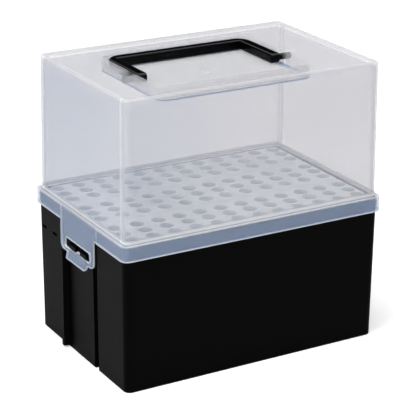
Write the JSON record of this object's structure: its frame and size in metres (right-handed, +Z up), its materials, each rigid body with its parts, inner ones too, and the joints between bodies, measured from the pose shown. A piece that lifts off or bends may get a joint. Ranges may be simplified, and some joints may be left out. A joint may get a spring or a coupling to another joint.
{
  "type": "pen case",
  "caption": "Upright case for felt-tip pens: black bin with lift-out pen racks, clear lift-off lid, folding handle in the lid's recess and a hooked latch on each end.",
  "frame": {"origin": "middle of the footprint, on the surface that the case stands on", "axes": "+Z up, +X to the right along the long side, the bare front towards -Y"},
  "size_m": [0.2476, 0.161, 0.239],
  "materials": {
    "black_plastic": "semi-gloss black polypropylene",
    "handle_black": "semi-gloss black plastic",
    "clear_plastic": "milky clear polypropylene",
    "rack_plastic": "satin pale translucent polypropylene"
  },
  "bodies": {
    "bin": {"base_bin": "black_plastic"},
    "lid": {"lid": "clear_plastic"},
    "handle": {"handle": "handle_black"},
    "latch_left": {"latch_left": "clear_plastic"},
    "latch_right": {"latch_right": "clear_plastic"},
    "rack_back": {"rack_back_plate": "rack_plastic", "rack_back_grid": "rack_plastic", "rack_back_leg_left": "rack_plastic", "rack_back_leg_middle": "rack_plastic", "rack_back_leg_right": "rack_plastic"},
    "rack_middle": {"rack_middle_plate": "rack_plastic", "rack_middle_grid": "rack_plastic", "rack_middle_leg_left": "rack_plastic", "rack_middle_leg_middle": "rack_plastic", "rack_middle_leg_right": "rack_plastic"},
    "rack_front": {"rack_front_plate": "rack_plastic", "rack_front_grid": "rack_plastic", "rack_front_leg_left": "rack_plastic", "rack_front_leg_middle": "rack_plastic", "rack_front_leg_right": "rack_plastic"}
  },
  "joints": [
    {"name": "lid_lift", "type": "slide", "parent": "bin", "child": "lid", "axis": [0, 0, 1], "range_m": [0, 0.06]},
    {"name": "latch_left_swing", "type": "hinge", "parent": "lid", "child": "latch_left", "pos_m": [-0.1198, 0, 0.1245], "axis": [0, 1, 0], "range_deg": [0, 160]},
    {"name": "latch_right_swing", "type": "hinge", "parent": "lid", "child": "latch_right", "pos_m": [0.1198, 0, 0.1245], "axis": [0, -1, 0], "range_deg": [0, 160]},
    {"name": "handle_fold", "type": "hinge", "parent": "lid", "child": "handle", "pos_m": [0, 0, 0.23065], "axis": [1, 0, 0], "range_deg": [0, 165]},
    {"name": "rack_back_lift", "type": "slide", "parent": "bin", "child": "rack_back", "axis": [0, 0, 1], "range_m": [0, 0.06]},
    {"name": "rack_middle_lift", "type": "slide", "parent": "bin", "child": "rack_middle", "axis": [0, 0, 1], "range_m": [0, 0.06]},
    {"name": "rack_front_lift", "type": "slide", "parent": "bin", "child": "rack_front", "axis": [0, 0, 1], "range_m": [0, 0.06]}
  ],
  "couplings": [
    {"joint": "latch_left_swing", "follows": "lid_lift", "rad_per_m": 46.5},
    {"joint": "latch_right_swing", "follows": "lid_lift", "rad_per_m": 46.5}
  ]
}
